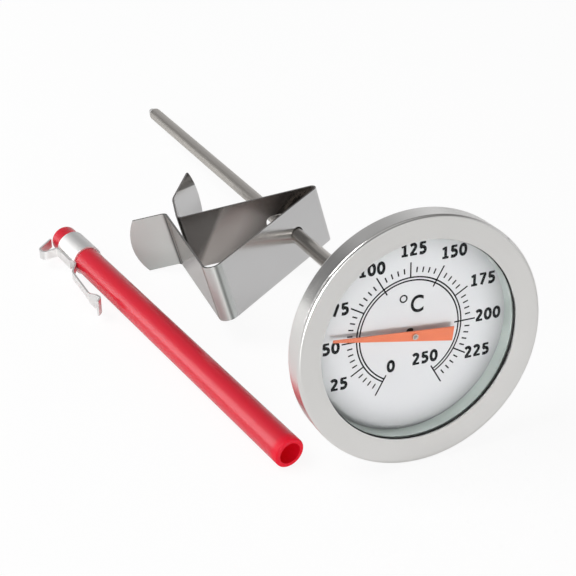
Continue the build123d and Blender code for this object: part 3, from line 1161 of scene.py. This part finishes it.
    def build_unit(self) -> None:
        """Prints the degree ring and the C."""
        letter = self.letter("C")
        deep = max(v.co.z for v in letter.vertices)
        wide = max(v.co.x for v in letter.vertices) * 2
        width, height = self.unit_size
        thinner = self.ink_thickness / 2 / deep
        letter.transform(Matrix.Diagonal((width / wide, height, thinner, 1.0)))
        self.stand("unit_letter", letter, self.unit_place)
        sweep = math.radians(self.degree_sweep_deg)
        values = {"Radius": self.degree_radius, "Start Angle": 0.0, "Sweep Angle": sweep}
        self.stand("unit_degree", self.grown(self.ring_tree(), values), self.degree_place)

    def build(self) -> None:
        """Prints the whole scale."""
        self.build_lines()
        self.build_rings()
        self.build_figures()
        self.build_unit()


@dataclass
class Assembly:
    """A part of the object whose pieces each wear one finish."""

    frame: Table

    def wear(self, finish: Finish, *names: str) -> None:
        """Puts one finish on CAD nodes.

        Args:
            finish: the finish.
            names: the nodes' names.
        """
        material = finish.material()
        for name in names:
            mesh = self.frame["nodes"][name].data
            mesh.materials.clear()
            mesh.materials.append(material)
            LOG.info("%s wears %s", name, material.name)


@dataclass
class Head(Assembly):
    """The dial's case: bezel, cup, seal, window, spacer, dial and washer."""

    plate_thickness: float = 0.5 * MM

    def dress(self) -> None:
        """Gives the head's pieces their finishes and prints the dial."""
        place = DialFrame.from_frame(self.frame, self.plate_thickness)
        middle = {"centre": place.centre, "way": place.along_stem}
        turned = {"grain": Grain.TURNED, **middle}
        pale, pale_shade = (0.91, 0.90, 0.88), (0.84, 0.83, 0.81)
        grey, grey_shade = (0.66, 0.65, 0.64), (0.56, 0.55, 0.54)
        black, black_shade = (0.012, 0.012, 0.012), (0.03, 0.03, 0.03)
        green, green_shade = (0.70, 0.785, 0.735), (0.61, 0.70, 0.655)
        steel, steel_shade = (0.5, 0.49, 0.48), (0.4, 0.39, 0.38)
        ink, ink_shade = (0.008, 0.008, 0.009), (0.014, 0.014, 0.015)
        bezel = Metal("satin_bezel", pale, pale_shade, roughness=0.23, unevenness=0.14, **turned)
        self.wear(bezel, "bezel_ring")
        self.wear(Metal("pressed_case", grey, grey_shade, roughness=0.28, **turned), "case_cup")
        seal = Paint("black_rubber", black, black_shade, roughness=0.6, shine=0.2)
        self.wear(seal, "window_gasket")
        self.wear(Glass("window_glass_clear"), "window_glass")
        spacer = Paint("green_plastic", green, green_shade, roughness=0.35, coat=0.8)
        self.wear(spacer, "spacer_ring")
        # The dial's enamel carries painted shade towards its edge.
        self.wear(DialPaintWithShade("dial_enamel_painted_shade", **middle), "dial_plate")
        self.wear(Metal("spring_steel", steel, steel_shade, roughness=0.3), "friction_washer")
        printed = Paint("dial_ink", ink, ink_shade, roughness=0.5, shine=0.06)
        DialPrint(place, printed.material()).build()


BRASS, BRASS_SHADE = (0.78, 0.57, 0.27), (0.66, 0.46, 0.2)


@dataclass
class Stem(Assembly):
    """The stem: tube, collar, nut, plug, bushes, anchor and the bimetal coil."""

    worn_from: float = -17.0 * MM
    worn_to: float = -5.0 * MM
    worn_roughness: float = 0.37

    def dress(self) -> None:
        """Gives the stem's pieces their finishes."""
        way = joint_way(self.frame, "stem_setting")
        low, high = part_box("stem_tube")
        warm, warm_shade = (0.62, 0.59, 0.55), (0.56, 0.53, 0.49)
        grey, grey_shade = (0.64, 0.63, 0.62), (0.54, 0.53, 0.52)
        worn = DullZone(way, self.worn_from, self.worn_to, self.worn_roughness)
        smooth = {"roughness": 0.2, "unevenness": 0.05, "dull_zones": (worn,)}
        drawn = {"grain": Grain.DRAWN, "way": way, "lines_to_the_metre": 7000.0, "depth": 0.5e-6}
        tube = Metal("drawn_tube", warm, warm_shade, **smooth, **drawn)
        round_middle = {"grain": Grain.TURNED, "centre": (low + high) / 2, "way": way}
        turned = Metal("turned_steel", grey, grey_shade, roughness=0.24, **round_middle)
        self.wear(tube, "stem_tube")
        self.wear(turned, "stem_collar", "calibration_nut", "tip_plug", "coil_anchor")
        self.wear(Metal("brass", BRASS, BRASS_SHADE), "upper_bush", "lower_bush")
        self.wear(Bimetal("bimetal_strip"), "bimetal_coil")


@dataclass
class Movement(Assembly):
    """What turns with the coil: spindle, collar, hub and pointer."""

    def dress(self) -> None:
        """Gives the moving pieces their finishes."""
        grey, grey_shade = (0.55, 0.54, 0.53), (0.45, 0.44, 0.43)
        pink, pink_shade = (0.80, 0.72, 0.66), (0.66, 0.58, 0.52)
        coral, coral_shade = (0.70, 0.175, 0.078), (0.66, 0.16, 0.07)
        self.wear(Metal("spindle_wire", grey, grey_shade), "spindle")
        self.wear(Metal("collar_brass", BRASS, BRASS_SHADE, roughness=0.28), "coil_collar")
        self.wear(Metal("hub_metal", pink, pink_shade, roughness=0.22), "pointer_hub")
        self.wear(Paint("coral_paint", coral, coral_shade, roughness=0.45), "pointer")


@dataclass
class PanClip(Assembly):
    """The folded steel strip that grips a pan's wall, with the ways its faces look and run."""

    back_inner: Way = (-0.38, -0.92, 0.05)
    lip_face: Way = (0.79, -0.55, 0.26)
    to_lip_tip: Way = (-0.004, 0.423, 0.906)
    to_tight_bend: Way = (0.95, 0.25, -0.31)
    front_inner: Way = (-0.42, 0.88, -0.23)
    round_bend: Way = (-0.04, -0.99, 0.14)
    across_round_bend: Way = (0.976, 0.033, 0.216)
    grip_fold: Way = (-0.90, -0.41, -0.14)
    across_grip_fold: Way = (0.032, 0.989, -0.143)
    to_grip: Way = (0.0, 1.0, 0.0)
    to_round_bend: Way = (-0.55, -0.835, 0.0)
    # Painted: takes some red out of the rubbed zones against the sheath's red reflection.
    red_reflection_offset_tint: Colour = (0.94, 1.0, 0.975)

    def band(self, side: Way, way: Way, places_mm: Place, darkness: float) -> ShadeBand:
        """A band of painted shade, from its middle, half width and fade in millimetres."""
        return ShadeBand(side, way, *(place * MM for place in places_mm), darkness)

    def rubbed(self, way: Way, start_mm: float, full_mm: float, roughness: float) -> DullZone:
        """A rubbed part from its ends in millimetres, painted less red against a red reflection."""
        return DullZone(way, start_mm * MM, full_mm * MM, roughness, self.red_reflection_offset_tint)

    def dress(self) -> None:
        """Gives both halves of the strip the same rolled steel, each with its own painted shade."""
        rolled = {
            "colour": (0.76, 0.755, 0.755),
            "shade": (0.68, 0.675, 0.675),
            "roughness": 0.17,
            "unevenness": 0.06,
            "grain": Grain.ROLLED,
            "way": joint_way(self.frame, "clip_spring"),
            "lines_to_the_metre": 6000.0,
            "depth": 0.3e-6,
        }
        back = StripSteel(
            "rolled_strip_back",
            inner_way=self.back_inner,
            # Painted shade and painted dark reflection: bands at the lip's tip and across the back
            # plate's inside.
            shade_bands=(
                self.band(self.lip_face, self.to_lip_tip, (30.0, 9.8, 0.3), 0.75),
                self.band(self.lip_face, self.to_lip_tip, (30.0, 6.8, 3.2), 0.8),
                self.band(self.back_inner, self.to_tight_bend, (-30.0, 21.9, 0.8), 0.52),
                self.band(self.back_inner, self.to_tight_bend, (30.0, 27.0, 6.0), 0.8),
            ),
            **rolled,
        )
        front = StripSteel(
            "rolled_strip_front",
            inner_way=self.front_inner,
            # Painted shade on the front half's inner face.
            inner_shade_tint=(0.55, 0.515, 0.49),
            # Painted shade: bands in the round bend and along the grip fold.
            shade_bands=(
                self.band(self.round_bend, self.across_round_bend, (-7.6, 0.15, 0.5), 0.6),
                self.band(self.grip_fold, self.across_grip_fold, (0.12, 0.1, 0.35), 0.5),
            ),
            dull_zones=(
                self.rubbed(self.to_grip, -0.4, 0.8, 0.62),
                self.rubbed(self.to_round_bend, 32.3, 33.8, 0.6),
            ),
            **rolled,
        )
        self.wear(back, "clip_back")
        self.wear(front, "clip_front")


@dataclass
class Sheath(Assembly):
    """The red plastic sheath with its band, loop and spring arm."""

    def dress(self) -> None:
        """Gives the sheath and its metalwork their finishes."""
        bore = row(self.frame["record"]["mounts"], "sheath_bore")
        red = SheathPlastic(
            "red_plastic",
            colour=(0.73, 0.008, 0.032),
            shade=(0.69, 0.006, 0.026),
            texture=Clouds(1500.0, 3.0, 0.55),
            depth=0.3e-6,
            shine=0.15,
            coat=1.0,
            coat_roughness=0.26,
            glow_through=0.25,
            middle=Vector(bore["pos_m"]),
            way=Vector(bore["axis"]).normalized(),
        )
        bright, bright_shade = (0.95, 0.945, 0.935), (0.90, 0.895, 0.885)
        satin = {"roughness": 0.5, "unevenness": 0.03, "depth": 0.2e-6}
        nickel = Metal("bright_nickel", bright, bright_shade, **satin)
        self.wear(red, "sheath_tube")
        self.wear(nickel, "clip_band", "clip_loop", "clip_arm")


@dataclass(frozen=True)
class Lamp:
    """One soft lamp: where it hangs, what it points at, its size in metres and its watts."""

    name: str
    place: Place
    target: Place
    size: tuple[float, float]
    power: float

    def hang(self) -> None:
        """Puts the lamp in the scene."""
        lamp = bpy.data.lights.new(self.name, "AREA")
        lamp.shape = "RECTANGLE"
        lamp.size, lamp.size_y = self.size
        lamp.energy = self.power
        holder = put_in_scene(self.name, lamp)
        holder.location = self.place
        holder.rotation_mode = "QUATERNION"
        aim = Vector(self.target) - Vector(self.place)
        holder.rotation_quaternion = aim.to_track_quat("-Z", "Y")


@dataclass
class Studio:
    """Pale floor, soft lamps, plain world and the camera."""

    dial_centre: Vector
    floor_half: float = 3.0
    floor_drop: float = 0.0002
    camera_from_dial: Way = (-0.117388, -0.209177, 0.165691)
    camera_right: Way = (0.91912, -0.39396, 0.00294)
    camera_down: Way = (-0.21240, -0.50180, -0.83850)
    camera_ahead: Way = (0.33181, 0.77006, -0.54489)
    lens_mm: float = 88.26
    sensor_mm: float = 36.0
    nearest: float = 0.01
    sky: Stops = (
        (0.0, (0.70, 0.70, 0.71)),
        (0.20, (0.66, 0.66, 0.67)),
        (0.40, (0.40, 0.40, 0.405)),
        (0.56, (0.20, 0.20, 0.20)),
        (0.72, (0.15, 0.15, 0.15)),
        (0.88, (0.30, 0.30, 0.30)),
        (1.0, (0.50, 0.50, 0.50)),
    )
    screen_way: Way = (-0.480, 0.869, 0.120)
    screen_start: float = 0.88
    screen_fade: float = 0.09
    screen_darkness: float = 0.7
    lamps: tuple[Lamp, ...] = (
        Lamp("front_lamp", (-0.10, -0.75, 0.06), (0.0, -0.05, 0.02), (0.11, 0.11), 1.8),
        Lamp("top_lamp", (-0.50, 0.09, 0.75), (0.0, 0.0, 0.0), (0.5, 0.5), 4.0),
        Lamp("side_lamp", (-0.69, 0.38, 0.17), (-0.03, 0.0, 0.01), (0.30, 0.70), 1.8),
    )

    def build_floor(self) -> None:
        """Lays the pale floor, which keeps a soft shadow."""
        half = self.floor_half
        mesh = bpy.data.meshes.new("floor")
        corners = [(-half, -half, 0.0), (half, -half, 0.0), (half, half, 0.0), (-half, half, 0.0)]
        mesh.from_pydata(corners, [], [(0, 1, 2, 3)])
        floor = put_in_scene("floor", mesh)
        floor.location.z = -self.floor_drop
        mesh.materials.append(Paper("paper_floor").material())

    def build_world(self) -> None:
        """Sets a soft room light, bright low down and dim above, with a dark screen at the left."""
        world = bpy.data.worlds.new("studio")
        bpy.context.scene.world = world
        world.use_nodes = True
        world.node_tree.nodes.clear()
        bench = Bench(world.node_tree)
        way = bench.add("ShaderNodeTexCoord").out("Generated")
        height = way.along((0.0, 0.0, 1.0))
        screen = ((way.along(self.screen_way) - self.screen_start) / self.screen_fade).clipped()
        light = {
            "Color": bench.ramp(height, self.sky),
            "Strength": 1.0 - screen * self.screen_darkness,
        }
        background = bench.add("ShaderNodeBackground", inputs=light)
        bench.add("ShaderNodeOutputWorld", inputs={"Surface": background})

    def build_camera(self) -> None:
        """Sets the camera."""
        data = bpy.data.cameras.new("camera")
        data.lens = self.lens_mm
        data.sensor_width = self.sensor_mm
        data.clip_start = self.nearest
        camera = put_in_scene("camera", data)
        ways = (self.camera_right, self.camera_down, self.camera_ahead)
        right, down, ahead = (Vector(way) for way in ways)
        turn = Matrix((right, -down, -ahead)).transposed().to_4x4()
        turn.translation = self.dial_centre + Vector(self.camera_from_dial)
        camera.matrix_world = turn
        bpy.context.scene.camera = camera
        bpy.context.scene.view_settings.view_transform = "Standard"

    def build(self) -> None:
        """Builds the whole studio."""
        self.build_floor()
        self.build_world()
        for lamp in self.lamps:
            lamp.hang()
        self.build_camera()
        LOG.info("studio is set")


def main() -> None:
    """Dresses every piece, prints the dial and sets the studio."""
    logging.basicConfig(level=logging.INFO, format="%(name)s: %(message)s")
    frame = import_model()
    for assembly in (Head(frame), Stem(frame), Movement(frame), PanClip(frame), Sheath(frame)):
        assembly.dress()
    Studio(DialFrame.from_frame(frame, Head.plate_thickness).centre).build()


if __name__ == "__main__":
    main()
